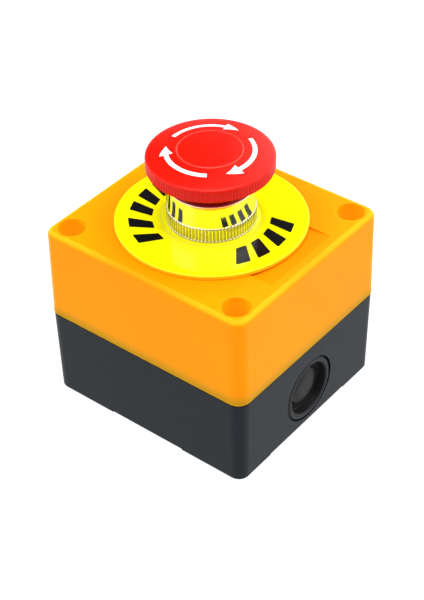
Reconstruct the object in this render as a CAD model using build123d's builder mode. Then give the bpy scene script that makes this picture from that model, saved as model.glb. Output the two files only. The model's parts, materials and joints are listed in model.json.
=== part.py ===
from build123d import *
import os
from math import atan, degrees

os.makedirs("parts", exist_ok=True)

# ----------------------------------------------------------------------------
# Emergency stop station: wall box 72 x 77.5 mm with a 22 mm push-lock,
# turn-to-release mushroom button and one NC and one NO contact block.
# Frame: origin at the bottom centre of the box (the wall face), +Z out of the
# lid along the button axis, X across the box, Y along the box, cable entry in
# the -Y end.  Millimetres.
# ----------------------------------------------------------------------------

# enclosure
box_x = 72.0                # lid width at the seam
box_y = 77.5                # lid length at the seam
seam_z = 31.6               # joint between base and lid
lid_top_z = 63.3            # outer face of the lid's top
lid_inset = 0.45            # draft of the lid wall, per side
base_step = 0.20            # base stands this far inside the lid at the seam
base_inset = 0.52           # draft of the base wall, per side
corner_r = 4.4              # vertical corner radius at the seam
lid_edge_r = 2.0            # fillet round the lid's top
lip_h = 0.5                 # raised band round the lid's lower edge
lip_t = 0.12
rebate_h = 0.45             # shadow gap round the base's rim
rebate_d = 0.45
cavity_x = 66.0
cavity_y = 71.5
cavity_r = 1.6
floor_z = 2.4               # inner floor of the base
panel_z = 60.3              # inner face of the lid's top (3 mm panel)
foot_h = 0.73               # height of the corner feet
foot_gap_x = 40.0           # gap between feet along X
foot_gap_y = 29.0           # gap between feet along Y
lid_screw_x = 29.0
lid_screw_y = 31.8
recess_r = 4.3              # mouth of the deep screw recess in the lid
recess_neck = 2.0           # depth of the mouth, below it the bore is wider
recess_low_r = 4.5
seat_z = 37.6               # bottom of the screw recess
wall_hole_x = 24.0          # wall fixing holes, 48 mm square
wall_hole_y = 24.0
wall_hole_r = 2.25
wall_skin = 0.7             # skin that closes each hole until it is broken out

# cable entry in the -Y end
entry_z = 14.0
entry_recess_r = 11.55
entry_bore_r = 10.3

# shallow ramped pocket in the lid's top
pocket_w = 30.0
pocket_y0 = -34.0           # where the ramp starts, flush with the top
pocket_y1 = -25.0           # where it reaches full depth
pocket_y2 = 15.0
pocket_depth = 0.8

# button
plate_r = 30.1
plate_t = 1.4
plate_top = lid_top_z + plate_t            # 64.7
panel_hole_r = 11.15
thread_r = 10.9
collar_r_foot = 14.05
collar_r_mid = 13.75
collar_r_top = 13.65
collar_step_z = 69.6
collar_top_z = 77.6
collar_bore_r = 12.4
flute_count = 82
barrel_top_z = 67.4
barrel_flange_r = 15.0
barrel_bottom_z = 44.0
barrel_body_r = 13.0
bore_r = 8.6
rod_r = 8.55
tail_r = 5.0
neck_r = 6.0
stem_r = 12.0
head_r = 19.7
head_under_z = 83.3
head_edge_z = 87.95
head_crown_z = 90.0
travel = 5.0                # push travel

# contact blocks
block_l = 36.0
block_top_z = 34.0
block_bot_z = 12.0
block_cx = 7.5              # centre plane of each block, NC at -X, NO at +X
plunger_r = 2.55
plunger_top_z = 40.6
tab_y = 22.5                # terminal screw position


def save(piece, name):
    piece.part.label = name
    export_step(piece.part, "parts/" + name + ".step")


# ============================ enclosure =====================================

lid_angle = degrees(atan(lid_inset / (lid_top_z - seam_z)))
base_angle = degrees(atan(base_inset / seam_z))
corners = [(sx * lid_screw_x, sy * lid_screw_y) for sx in (-1, 1) for sy in (-1, 1)]

# lid: drafted shell with four screw columns
with BuildPart() as lid:
    with BuildSketch(Plane.XY.offset(seam_z)):
        RectangleRounded(box_x - 2 * lip_t, box_y - 2 * lip_t, corner_r - lip_t)
    extrude(amount=lid_top_z - seam_z, taper=lid_angle)
    top_edges = lid.faces().sort_by(Axis.Z)[-1].edges()
    fillet(top_edges, lid_edge_r)
    # raised band along the lower edge
    with BuildSketch(Plane.XY.offset(seam_z)):
        RectangleRounded(box_x, box_y, corner_r)
    extrude(amount=lip_h)
    low_edges = lid.faces().sort_by(Axis.Z)[0].edges()
    fillet(low_edges, 0.2)
    # hollow
    with BuildSketch(Plane.XY.offset(seam_z)):
        RectangleRounded(cavity_x, cavity_y, cavity_r)
    extrude(amount=panel_z - seam_z, mode=Mode.SUBTRACT)
    # columns round the screws
    with BuildSketch(Plane.XY.offset(seam_z)):
        with Locations(*corners):
            Circle(5.6)
    extrude(amount=panel_z - seam_z + 0.5)
    # button hole
    with BuildSketch(Plane.XY.offset(panel_z - 1)):
        Circle(panel_hole_r)
    extrude(amount=6, mode=Mode.SUBTRACT)
    # deep screw recesses and the clearance holes below them
    with BuildSketch(Plane.XY.offset(lid_top_z - recess_neck - 0.5)):
        with Locations(*corners):
            Circle(recess_r)
    extrude(amount=10, mode=Mode.SUBTRACT)
    with BuildSketch(Plane.XY.offset(seat_z)):
        with Locations(*corners):
            Circle(recess_low_r)
    extrude(amount=lid_top_z - recess_neck - seat_z, mode=Mode.SUBTRACT)
    with BuildSketch(Plane.XY.offset(seam_z - 1)):
        with Locations(*corners):
            Circle(2.2)
    extrude(amount=20, mode=Mode.SUBTRACT)
    # ramped pocket: its profile lies in the YZ plane
    with BuildSketch(Plane.YZ.offset(-pocket_w / 2)):
        with BuildLine():
            Polyline(
                (pocket_y0, lid_top_z),
                (pocket_y1, lid_top_z - pocket_depth),
                (pocket_y2, lid_top_z - pocket_depth),
                (pocket_y2, lid_top_z + 2),
                (pocket_y0, lid_top_z + 2),
                close=True,
            )
        make_face()
    extrude(amount=pocket_w, mode=Mode.SUBTRACT)
    # eased mouth of each recess
    mouths = (
        lid.edges()
        .filter_by(GeomType.CIRCLE)
        .filter_by(lambda e: abs(e.radius - recess_r) < 0.01 and e.center().Z > lid_top_z - 0.5)
    )
    fillet(mouths, 0.45)
save(lid, "lid")

# base: drafted tray with corner feet, screw bosses, seal groove, cable entry
with BuildPart() as base:
    with BuildSketch(Plane.XY.offset(seam_z)):
        RectangleRounded(box_x - 2 * base_step, box_y - 2 * base_step, corner_r - base_step)
    extrude(amount=-seam_z, taper=base_angle)
    # shadow gap round the rim, below the lid
    with BuildSketch(Plane.XY.offset(seam_z - rebate_h)):
        RectangleRounded(box_x + 4, box_y + 4, corner_r)
        RectangleRounded(
            box_x - 2 * (base_step + rebate_d),
            box_y - 2 * (base_step + rebate_d),
            corner_r - base_step - rebate_d,
            mode=Mode.SUBTRACT,
        )
    extrude(amount=2, mode=Mode.SUBTRACT)
    foot_edges = base.faces().sort_by(Axis.Z)[0].edges()
    fillet(foot_edges, 0.5)
    # hollow
    with BuildSketch(Plane.XY.offset(floor_z)):
        RectangleRounded(cavity_x, cavity_y, cavity_r)
    extrude(amount=seam_z - floor_z + 1, mode=Mode.SUBTRACT)
    # screw bosses in the corners
    with BuildSketch(Plane.XY.offset(floor_z - 0.5)):
        with Locations(*corners):
            Circle(4.6)
    extrude(amount=seam_z - floor_z + 0.5)
    with BuildSketch(Plane.XY.offset(19.0)):
        with Locations(*corners):
            Circle(1.95)
    extrude(amount=20, mode=Mode.SUBTRACT)
    # underside relief that leaves a foot in each corner
    with BuildSketch(Plane.XY):
        Rectangle(foot_gap_x, 100)
        Rectangle(100, foot_gap_y)
    extrude(amount=foot_h, mode=Mode.SUBTRACT)
    # wall fixing holes in the feet, each closed by a thin skin that is broken
    # out when the screw goes in, so that the box stays sealed
    with BuildSketch(Plane.XY.offset(-1)):
        with GridLocations(2 * wall_hole_x, 2 * wall_hole_y, 2, 2):
            Circle(wall_hole_r)
    extrude(amount=1 + floor_z - wall_skin, mode=Mode.SUBTRACT)
    # groove for the seal, midway in the rim
    with BuildSketch(Plane.XY.offset(seam_z - 1.0)):
        RectangleRounded(69.6, 75.1, 3.2)
        RectangleRounded(67.2, 72.7, 2.0, mode=Mode.SUBTRACT)
    extrude(amount=2, mode=Mode.SUBTRACT)
    # cable entry: shallow round recess and the bore
    with BuildSketch(Plane.XZ.offset(box_y / 2 - 1.8)):
        with Locations((0, entry_z)):
            Circle(entry_recess_r)
    extrude(amount=5, mode=Mode.SUBTRACT)
    with BuildSketch(Plane.XZ.offset(box_y / 2 - 8)):
        with Locations((0, entry_z)):
            Circle(entry_bore_r)
    extrude(amount=12, mode=Mode.SUBTRACT)
    # knockout in the +Y end: a thinned disc ringed by a groove
    with BuildSketch(Plane.XZ.offset(-(box_y / 2 - 1.8))):
        with Locations((0, entry_z)):
            Circle(entry_bore_r)
            Circle(entry_bore_r - 1.2, mode=Mode.SUBTRACT)
    extrude(amount=-5, mode=Mode.SUBTRACT)
save(base, "base")

with BuildPart() as lid_seal:
    with BuildSketch(Plane.XY.offset(seam_z - 1.0)):
        RectangleRounded(69.6, 75.1, 3.2)
        RectangleRounded(67.2, 72.7, 2.0, mode=Mode.SUBTRACT)
    extrude(amount=1.0)
save(lid_seal, "lid_seal")

with BuildPart() as lid_screws:
    with BuildSketch(Plane.XY.offset(21.6)):
        with Locations(*corners):
            Circle(1.95)
    extrude(amount=seat_z - 21.6 + 0.5)
    with BuildSketch(Plane.XY.offset(seat_z)):
        with Locations(*corners):
            Circle(3.5)
    extrude(amount=2.6)
    fillet(lid_screws.faces().filter_by(Axis.Z).group_by(Axis.Z)[-1].edges(), 0.7)
    with BuildSketch(Plane.XY.offset(seat_z + 1.2)):
        with Locations(*corners):
            Rectangle(4.0, 0.9)
            Rectangle(0.9, 4.0)
    extrude(amount=3, mode=Mode.SUBTRACT)
save(lid_screws, "lid_screws")

# blanking grommet: lip in the recess, neck in the bore, flange behind the
# wall, domed disc in the middle with a deep groove round it.  Profile in the
# XY plane of a frame whose Y runs along the entry axis.
y_face = -(box_y / 2 - base_step - base_inset * (seam_z - entry_z) / seam_z)
y_rec = -(box_y / 2 - 1.8)
y_in = -cavity_y / 2
with BuildPart() as cable_grommet:
    with BuildSketch(Plane.XY.offset(entry_z)):
        with BuildLine():
            Polyline(
                (9.1, y_face + 0.35),
                (9.6, y_face - 0.05),
                (10.4, y_face - 0.05),
                (11.05, y_face + 0.45),
                (11.15, y_rec),
                (entry_bore_r, y_rec),
                (entry_bore_r, y_in),
                (11.3, y_in),
                (11.1, y_in + 1.2),
                (9.6, y_in + 2.2),
                (0, y_in + 2.2),
                (0, y_face + 1.3),
                (4.0, y_face + 1.55),
                (6.3, y_face + 2.3),
                (6.8, y_face + 3.0),
                (6.9, y_in + 0.7),
                (8.9, y_in + 0.7),
                close=True,
            )
        make_face()
    revolve(axis=Axis((0, 0, entry_z), (0, 1, 0)), revolution_arc=360)
save(cable_grommet, "cable_grommet")

# ============================ panel hardware =================================

with BuildPart() as legend_plate:
    with BuildSketch(Plane.XY.offset(lid_top_z)):
        Circle(plate_r)
        Circle(panel_hole_r, mode=Mode.SUBTRACT)
    extrude(amount=plate_t)
    fillet(
        legend_plate.edges()
        .filter_by(GeomType.CIRCLE)
        .filter_by(lambda e: e.radius > plate_r - 0.1 and e.center().Z > lid_top_z + 0.5),
        0.45,
    )
save(legend_plate, "legend_plate")

# collar: fluted foot, polished slightly conical upper part, rolled rim
with BuildPart() as collar_nut:
    with BuildSketch(Plane.XZ):
        with BuildLine():
            Polyline(
                (thread_r, plate_top),
                (11.6, plate_top),
                (11.6, plate_top + 1.0),
                (13.2, plate_top + 1.0),
                (13.2, plate_top),
                (collar_r_foot, plate_top),
                (collar_r_foot, collar_step_z - 0.3),
                (collar_r_mid, collar_step_z),
                (collar_r_top, collar_top_z - 0.5),
                (collar_r_top - 0.45, collar_top_z),
                (collar_bore_r + 0.15, collar_top_z),
                (collar_bore_r, collar_top_z - 0.3),
                (collar_bore_r, barrel_top_z),
                (thread_r, barrel_top_z),
                close=True,
            )
        make_face()
    revolve(axis=Axis.Z, revolution_arc=360)
    with BuildSketch(Plane.XY.offset(plate_top + 0.35)):
        with PolarLocations(collar_r_foot + 0.1, flute_count):
            Circle(0.34)
    extrude(amount=5.5, mode=Mode.SUBTRACT)
save(collar_nut, "collar_nut")

with BuildPart() as front_seal:
    with BuildSketch(Plane.XY.offset(plate_top)):
        Circle(13.2)
        Circle(11.6, mode=Mode.SUBTRACT)
    extrude(amount=1.0)
save(front_seal, "front_seal")

# barrel: threaded tube, rear flange, lower body, internal lock groove
with BuildPart() as barrel:
    with BuildSketch(Plane.XZ):
        with BuildLine():
            Polyline(
                (bore_r, barrel_top_z),
                (thread_r, barrel_top_z),
                (thread_r, panel_z - 1.0),
                (barrel_flange_r, panel_z - 1.0),
                (barrel_flange_r, panel_z - 4.0),
                (barrel_body_r, panel_z - 4.0),
                (barrel_body_r, barrel_bottom_z),
                (tail_r + 0.05, barrel_bottom_z),
                (tail_r + 0.05, barrel_bottom_z + 3.0),
                (bore_r, barrel_bottom_z + 3.0),
                (bore_r, 51.5),
                (9.2, 51.5),
                (9.2, 56.0),
                (bore_r, 56.0),
                close=True,
            )
        make_face()
    revolve(axis=Axis.Z, revolution_arc=360)
save(barrel, "barrel")

with BuildPart() as rear_gasket:
    with BuildSketch(Plane.XY.offset(panel_z - 1.0)):
        Circle(14.6)
        Circle(thread_r, mode=Mode.SUBTRACT)
    extrude(amount=1.0)
save(rear_gasket, "rear_gasket")

# ============================ button ========================================

# push rod: piston, drilled across for the latch pins, tail and neck, and a
# lug on the neck that limits the turn of the stem
with BuildPart() as push_rod:
    with BuildSketch(Plane.XZ):
        with BuildLine():
            Polyline(
                (0, 43.6),
                (tail_r, 43.6),
                (tail_r, 55.0),
                (rod_r, 55.0),
                (rod_r, 72.7),
                (neck_r, 72.7),
                (neck_r, 77.3),
                (5.2, 77.3),
                (5.2, 78.3),
                (neck_r, 78.3),
                (neck_r, 83.0),
                (5.6, 83.4),
                (0, 83.4),
                close=True,
            )
        make_face()
    revolve(axis=Axis.Z, revolution_arc=360)
    with BuildSketch(Plane.YZ.offset(-10)):
        with Locations((0, 58.0)):
            Circle(1.25)
    extrude(amount=20, mode=Mode.SUBTRACT)
    with BuildSketch(Plane.XY.offset(43.0)):
        Circle(1.5)
    extrude(amount=7.0, mode=Mode.SUBTRACT)
    with BuildSketch(Plane.XY.offset(72.7)):
        with BuildLine():
            l1 = CenterArc((0, 0), 7.3, -10, 20)
            l2 = CenterArc((0, 0), 5.5, -10, 20)
            Line(l1 @ 0, l2 @ 0)
            Line(l1 @ 1, l2 @ 1)
        make_face()
    extrude(amount=2.3)
save(push_rod, "push_rod")

with BuildPart() as drive_plate:
    with BuildSketch(Plane.XY.offset(plunger_top_z)):
        Circle(10.0)
        Circle(1.5, mode=Mode.SUBTRACT)
    extrude(amount=3.0)
    with BuildSketch(Plane.XY.offset(plunger_top_z)):
        Circle(2.8)
    extrude(amount=1.7, mode=Mode.SUBTRACT)
    fillet(
        drive_plate.edges().filter_by(GeomType.CIRCLE).filter_by(lambda e: e.radius > 9.9), 0.4
    )
save(drive_plate, "drive_plate")

with BuildPart() as drive_plate_screw:
    with BuildSketch(Plane.XY.offset(plunger_top_z + 0.1)):
        Circle(2.6)
    extrude(amount=1.6)
    with BuildSketch(Plane.XY.offset(plunger_top_z + 1.0)):
        Circle(1.5)
    extrude(amount=8.0)
    with BuildSketch(Plane.XY.offset(plunger_top_z)):
        Rectangle(3.2, 0.7)
        Rectangle(0.7, 3.2)
    extrude(amount=1.0, mode=Mode.SUBTRACT)
save(drive_plate_screw, "drive_plate_screw")

for nm, sx in (("latch_pin_left", -1), ("latch_pin_right", 1)):
    with BuildPart() as latch_pin:
        with BuildSketch(Plane.YZ.offset(sx * 2.5)):
            with Locations((0, 58.0)):
                Circle(1.2)
        extrude(amount=sx * 5.4)
        fillet(
            latch_pin.edges().filter_by(GeomType.CIRCLE).sort_by(Axis.X)[-1 if sx > 0 else 0], 0.5
        )
    save(latch_pin, nm)

with BuildPart() as retaining_clip:
    with BuildSketch(Plane.XY.offset(77.3)):
        Circle(8.0)
        Circle(5.2, mode=Mode.SUBTRACT)
        with Locations((0, -7)):
            Rectangle(3.0, 8.0, mode=Mode.SUBTRACT)
    extrude(amount=1.0)
save(retaining_clip, "retaining_clip")

# stem: dark red sleeve that turns on the neck of the rod
with BuildPart() as head_stem:
    with BuildSketch(Plane.XZ):
        with BuildLine():
            Polyline(
                (neck_r + 0.05, 73.0),
                (stem_r - 0.3, 73.0),
                (stem_r, 73.3),
                (stem_r, 85.0),
                (10.0, 85.0),
                (10.0, 77.0),
                (neck_r + 0.05, 77.0),
                close=True,
            )
        make_face()
    revolve(axis=Axis.Z, revolution_arc=360)
    # slot for the rod's lug: the stem can turn 40 degrees clockwise
    with BuildSketch(Plane.XY.offset(72.9)):
        with BuildLine():
            s1 = CenterArc((0, 0), 7.6, -13, 66)
            s2 = CenterArc((0, 0), 5.5, -13, 66)
            Line(s1 @ 0, s2 @ 0)
            Line(s1 @ 1, s2 @ 1)
        make_face()
    extrude(amount=2.5, mode=Mode.SUBTRACT)
save(head_stem, "head_stem")

# mushroom head: domed cap, rounded edge, hollow underside.  The crown is part
# of a sphere centred on the axis.
crown_h = head_crown_z - head_edge_z
crown_r = (18.3**2 + crown_h**2) / (2 * crown_h)
with BuildPart() as mushroom_head:
    with BuildSketch(Plane.XZ):
        with BuildLine():
            Polyline(
                (0, 85.0),
                (stem_r, 85.0),
                (stem_r, head_under_z),
                (13.6, head_under_z),
                (14.0, 86.2),
                (17.6, 86.0),
                (17.9, head_under_z),
                (head_r - 0.3, head_under_z),
                (head_r, head_under_z + 0.3),
                (head_r - 0.05, 86.9),
            )
            ThreePointArc((head_r - 0.05, 86.9), (19.2, 87.75), (18.3, head_edge_z))
            ThreePointArc(
                (18.3, head_edge_z),
                (9.2, head_crown_z - crown_r + (crown_r**2 - 9.2**2) ** 0.5),
                (0, head_crown_z),
            )
            Line((0, head_crown_z), (0, 85.0))
        make_face()
    revolve(axis=Axis.Z, revolution_arc=360)
save(mushroom_head, "mushroom_head")

# ============================ springs =======================================


def coil(name, mean_r, wire_r, z0, z1, turns):
    """Open coil whose wire fills z0..z1."""
    h = (z1 - z0) - 2 * wire_r
    with BuildPart() as spring:
        with BuildLine() as path:
            Helix(pitch=h / turns, height=h, radius=mean_r, center=(0, 0, z0 + wire_r))
        with BuildSketch(Plane(origin=path.line @ 0, z_dir=path.line % 0)):
            Circle(wire_r)
        sweep(path=path.line, is_frenet=True)
    return spring


return_spring = coil("return_spring", 6.8, 0.4, 47.0, 55.0, 4)
save(return_spring, "return_spring")

twist_spring = coil("twist_spring", 8.3, 0.4, 79.0, 83.4, 3.5)
save(twist_spring, "twist_spring")

with BuildPart() as latch_spring:
    with BuildLine() as latch_path:
        Helix(pitch=1.05, height=4.2, radius=0.85, center=(-2.1, 0, 58.0), direction=(1, 0, 0))
    with BuildSketch(Plane(origin=latch_path.line @ 0, z_dir=latch_path.line % 0)):
        Circle(0.22)
    sweep(path=latch_path.line, is_frenet=True)
save(latch_spring, "latch_spring")

# ============================ contact blocks =================================

# carrier: square frame clamped on the lower body of the barrel
with BuildPart() as carrier:
    with BuildSketch(Plane.XY.offset(block_top_z)):
        RectangleRounded(34, 34, 2.0)
    extrude(amount=16.0)
    with BuildSketch(Plane.XY.offset(block_top_z)):
        Circle(11.0)
    extrude(amount=10.0, mode=Mode.SUBTRACT)
    with BuildSketch(Plane.XY.offset(barrel_bottom_z)):
        Circle(barrel_body_r)
    extrude(amount=10.0, mode=Mode.SUBTRACT)
    with BuildSketch(Plane.YZ.offset(-20)):
        with Locations((0, 47.0)):
            Circle(1.5)
    extrude(amount=40, mode=Mode.SUBTRACT)
    with BuildSketch(Plane.XY.offset(block_top_z)):
        with GridLocations(2 * block_cx, 24, 2, 2):
            Circle(1.5)
    extrude(amount=5.0, mode=Mode.SUBTRACT)
save(carrier, "carrier")

with BuildPart() as carrier_screws:
    with BuildSketch(Plane.YZ.offset(barrel_body_r)):
        with Locations((0, 47.0)):
            Circle(1.5)
    extrude(amount=4.0)
    with BuildSketch(Plane.YZ.offset(-barrel_body_r)):
        with Locations((0, 47.0)):
            Circle(1.5)
    extrude(amount=-4.0)
    with BuildSketch(Plane.YZ.offset(barrel_body_r + 3.2)):
        with Locations((0, 47.0)):
            Rectangle(0.5, 4)
    extrude(amount=3.0, mode=Mode.SUBTRACT)
    with BuildSketch(Plane.YZ.offset(-barrel_body_r - 3.2)):
        with Locations((0, 47.0)):
            Rectangle(0.5, 4)
    extrude(amount=-3.0, mode=Mode.SUBTRACT)
save(carrier_screws, "carrier_screws")

with BuildPart() as block_screws:
    with BuildSketch(Plane.XY.offset(30.6)):
        with GridLocations(2 * block_cx, 24, 2, 2):
            Circle(2.4)
    extrude(amount=2.2)
    with BuildSketch(Plane.XY.offset(32.0)):
        with GridLocations(2 * block_cx, 24, 2, 2):
            Circle(1.5)
    extrude(amount=6.5)
    with BuildSketch(Plane.XY.offset(30.6)):
        with GridLocations(2 * block_cx, 24, 2, 2):
            Rectangle(3.2, 0.7)
            Rectangle(0.7, 3.2)
    extrude(amount=1.0, mode=Mode.SUBTRACT)
save(block_screws, "block_screws")


def block_pieces(tag, s, strip_z, tips_up):
    """One contact block.  s is -1 for the block at -X and +1 at +X.
    strip_z is the underside of the fixed strips; tips_up puts the fixed
    tips on top of the strips (normally open) or below (normally closed)."""
    cx = s * block_cx
    x_in = s * 1.0                      # face next to the middle plane
    x_out = s * 12.8                    # open side, closed by the cover
    mid = (x_in + x_out) / 2
    width = 11.8
    with BuildPart() as housing:
        with BuildSketch(Plane.XY.offset(block_bot_z)):
            with Locations((mid, 0)):
                Rectangle(width, block_l)
        extrude(amount=block_top_z - block_bot_z)
        # terminal ledges at both ends
        with BuildSketch(Plane.XY.offset(strip_z + 0.8)):
            with Locations((cx, 0)):
                Rectangle(9.6, 53.0)
        extrude(amount=4.6)
        # cavity, open towards the cover
        with BuildSketch(Plane.XY.offset(block_bot_z + 1.2)):
            with Locations((mid + s * 0.6, 0)):
                Rectangle(width - 1.2, block_l - 2.4)
        extrude(amount=block_top_z - block_bot_z - 2.4, mode=Mode.SUBTRACT)
        # plunger guide
        with BuildSketch(Plane.XY.offset(block_top_z - 3)):
            with Locations((cx, 0)):
                Circle(plunger_r + 0.05)
        extrude(amount=5, mode=Mode.SUBTRACT)
        # fixing screw holes
        with BuildSketch(Plane.XY.offset(block_top_z - 3)):
            with Locations((cx, 12), (cx, -12)):
                Circle(1.6)
        extrude(amount=5, mode=Mode.SUBTRACT)
        # slots for the strips in the end walls
        with BuildSketch(Plane.XY.offset(strip_z)):
            with Locations((cx, 17), (cx, -17)):
                Rectangle(5.0, 4.0)
        extrude(amount=0.8, mode=Mode.SUBTRACT)
        # holes for the terminal screws, up into the ledges
        with BuildSketch(Plane.XY.offset(strip_z)):
            with Locations((cx, tab_y), (cx, -tab_y)):
                Circle(1.6)
        extrude(amount=4.6, mode=Mode.SUBTRACT)
        # spring seat
        with BuildSketch(Plane.XY.offset(block_bot_z + 1.0)):
            with Locations((cx, 0)):
                Circle(3.6)
                Circle(3.2, mode=Mode.SUBTRACT)
        extrude(amount=1.2)
    save(housing, tag + "_housing")

    with BuildPart() as cover:
        with BuildSketch(Plane.YZ.offset(x_out)):
            with Locations((0, (block_top_z + block_bot_z) / 2)):
                RectangleRounded(block_l, block_top_z - block_bot_z, 0.8)
        extrude(amount=s * 1.2)
    save(cover, tag + "_cover")

    with BuildPart() as fixed:
        with BuildSketch(Plane.XY.offset(strip_z)):
            with Locations((cx, 16.5), (cx, -16.5)):
                Rectangle(5.0, 19.0)
        extrude(amount=0.8)
        with BuildSketch(Plane.XY.offset(strip_z + 0.8 if tips_up else strip_z)):
            with Locations((cx, 9), (cx, -9)):
                Circle(1.3)
        extrude(amount=0.6 if tips_up else -0.6)
        with BuildSketch(Plane.XY.offset(strip_z - 1)):
            with Locations((cx, tab_y), (cx, -tab_y)):
                Circle(1.6)
        extrude(amount=3, mode=Mode.SUBTRACT)
    save(fixed, tag + "_fixed_contacts")

    if tips_up:
        bridge_z = strip_z + 0.8 + 0.6 + travel + 0.2 + 0.6     # underside of the bar
        tip_z = bridge_z
        tip_h = -0.6
    else:
        bridge_z = strip_z - 0.6 - 0.6 - 0.8
        tip_z = bridge_z + 0.8
        tip_h = 0.6
    with BuildPart() as bridge:
        with BuildSketch(Plane.XY.offset(bridge_z)):
            with Locations((cx, 0)):
                RectangleRounded(4.0, 22.0, 0.8)
                Circle(3.2)
        extrude(amount=0.8)
        with BuildSketch(Plane.XY.offset(tip_z)):
            with Locations((cx, 9), (cx, -9)):
                Circle(1.3)
        extrude(amount=tip_h)
        with BuildSketch(Plane.XY.offset(bridge_z - 1)):
            with Locations((cx, 0)):
                Circle(1.5)
        extrude(amount=3, mode=Mode.SUBTRACT)
    save(bridge, tag + "_bridge")

    with BuildPart() as plunger:
        with BuildSketch(Plane.XY.offset(bridge_z + 0.8)):
            with Locations((cx, 0)):
                Circle(plunger_r)
        extrude(amount=plunger_top_z - bridge_z - 0.8)
        with BuildSketch(Plane.XY.offset(bridge_z - 3.2)):
            with Locations((cx, 0)):
                Circle(1.5)
        extrude(amount=4.2)
        fillet(
            plunger.edges().filter_by(GeomType.CIRCLE).sort_by(Axis.Z)[-1], 0.5
        )
    save(plunger, tag + "_plunger")

    floor = block_bot_z + 1.2
    wire = 0.22
    h = bridge_z - floor - 2 * wire
    with BuildPart() as spring:
        with BuildLine() as path:
            Helix(pitch=h / 6, height=h, radius=2.5, center=(cx, 0, floor + wire))
        with BuildSketch(Plane(origin=path.line @ 0, z_dir=path.line % 0)):
            Circle(wire)
        sweep(path=path.line, is_frenet=True)
    save(spring, tag + "_spring")


nc_strip_z = 27.6
no_strip_z = 18.6
block_pieces("nc", -1, nc_strip_z, False)
block_pieces("no", 1, no_strip_z, True)

tabs = [(-block_cx, y, nc_strip_z) for y in (-tab_y, tab_y)]
tabs += [(block_cx, y, no_strip_z) for y in (-tab_y, tab_y)]

with BuildPart() as terminal_screws:
    for x, y, z in tabs:
        with BuildSketch(Plane.XY.offset(z - 3.2)):
            with Locations((x, y)):
                Circle(3.0)
        extrude(amount=2.4)
        with BuildSketch(Plane.XY.offset(z - 1.0)):
            with Locations((x, y)):
                Circle(1.6)
        extrude(amount=5.2)
        with BuildSketch(Plane.XY.offset(z - 3.2)):
            with Locations((x, y)):
                Rectangle(6.4, 0.8)
        extrude(amount=0.9, mode=Mode.SUBTRACT)
save(terminal_screws, "terminal_screws")

with BuildPart() as clamp_washers:
    for x, y, z in tabs:
        with BuildSketch(Plane.XY.offset(z - 0.8)):
            with Locations((x, y)):
                RectangleRounded(6.4, 6.4, 0.5)
                Circle(1.6, mode=Mode.SUBTRACT)
        extrude(amount=0.8)
save(clamp_washers, "clamp_washers")
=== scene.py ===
import json
from math import sin, cos, pi, radians, sqrt, atan2

import bpy
import numpy as np
from mathutils import Matrix, Vector


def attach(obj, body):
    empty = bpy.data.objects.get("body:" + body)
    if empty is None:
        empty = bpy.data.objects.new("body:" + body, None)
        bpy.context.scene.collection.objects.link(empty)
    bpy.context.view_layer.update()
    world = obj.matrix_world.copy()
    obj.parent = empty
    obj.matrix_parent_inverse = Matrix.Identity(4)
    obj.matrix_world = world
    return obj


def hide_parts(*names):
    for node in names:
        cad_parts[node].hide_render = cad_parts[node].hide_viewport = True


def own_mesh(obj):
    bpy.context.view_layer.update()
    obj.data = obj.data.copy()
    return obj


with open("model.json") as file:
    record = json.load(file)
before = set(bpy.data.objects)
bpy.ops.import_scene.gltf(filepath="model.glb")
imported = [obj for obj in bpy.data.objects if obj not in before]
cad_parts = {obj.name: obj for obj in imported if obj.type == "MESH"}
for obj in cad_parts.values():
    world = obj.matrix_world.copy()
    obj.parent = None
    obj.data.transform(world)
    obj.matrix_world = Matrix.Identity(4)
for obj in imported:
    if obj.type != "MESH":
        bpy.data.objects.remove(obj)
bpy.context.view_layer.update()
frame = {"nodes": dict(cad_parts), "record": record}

scene = bpy.context.scene
MM = 0.001

# ---------------------------------------------------------------- dimensions
# Millimetres, the same numbers as the CAD.
SEAM_Z = 31.6
LID_TOP = 63.3
PLATE_TOP = 64.7
PLATE_R = 30.1
HOLE_R = 11.15
HEAD_R = 19.7
HEAD_LOW = 83.3
HEAD_EDGE_R, HEAD_EDGE_Z, HEAD_CROWN = 18.3, 87.95, 90.0
CROWN_H = HEAD_CROWN - HEAD_EDGE_Z
CROWN_R = (HEAD_EDGE_R ** 2 + CROWN_H ** 2) / (2 * CROWN_H)
FLUTES = 82
RIBS = 115


def crown(r):
    """Height of the head's dome at radius r."""
    return HEAD_CROWN - CROWN_R + sqrt(CROWN_R ** 2 - r * r)


# ---------------------------------------------------------------- mesh tools
def new_object(name, verts, faces, smooth_angle=30.0):
    mesh = bpy.data.meshes.new(name)
    mesh.from_pydata([tuple(v) for v in verts], [], faces)
    mesh.validate()
    mesh.update()
    obj = bpy.data.objects.new(name, mesh)
    scene.collection.objects.link(obj)
    if smooth_angle:
        mesh.polygons.foreach_set("use_smooth", [True] * len(mesh.polygons))
        mesh.set_sharp_from_angle(angle=radians(smooth_angle))
    return obj


def arc(cx, cz, r, a0, a1, n):
    """Points on an arc, degrees."""
    return [(cx + r * cos(radians(a0 + (a1 - a0) * i / n)), cz + r * sin(radians(a0 + (a1 - a0) * i / n))) for i in range(n + 1)]


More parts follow.
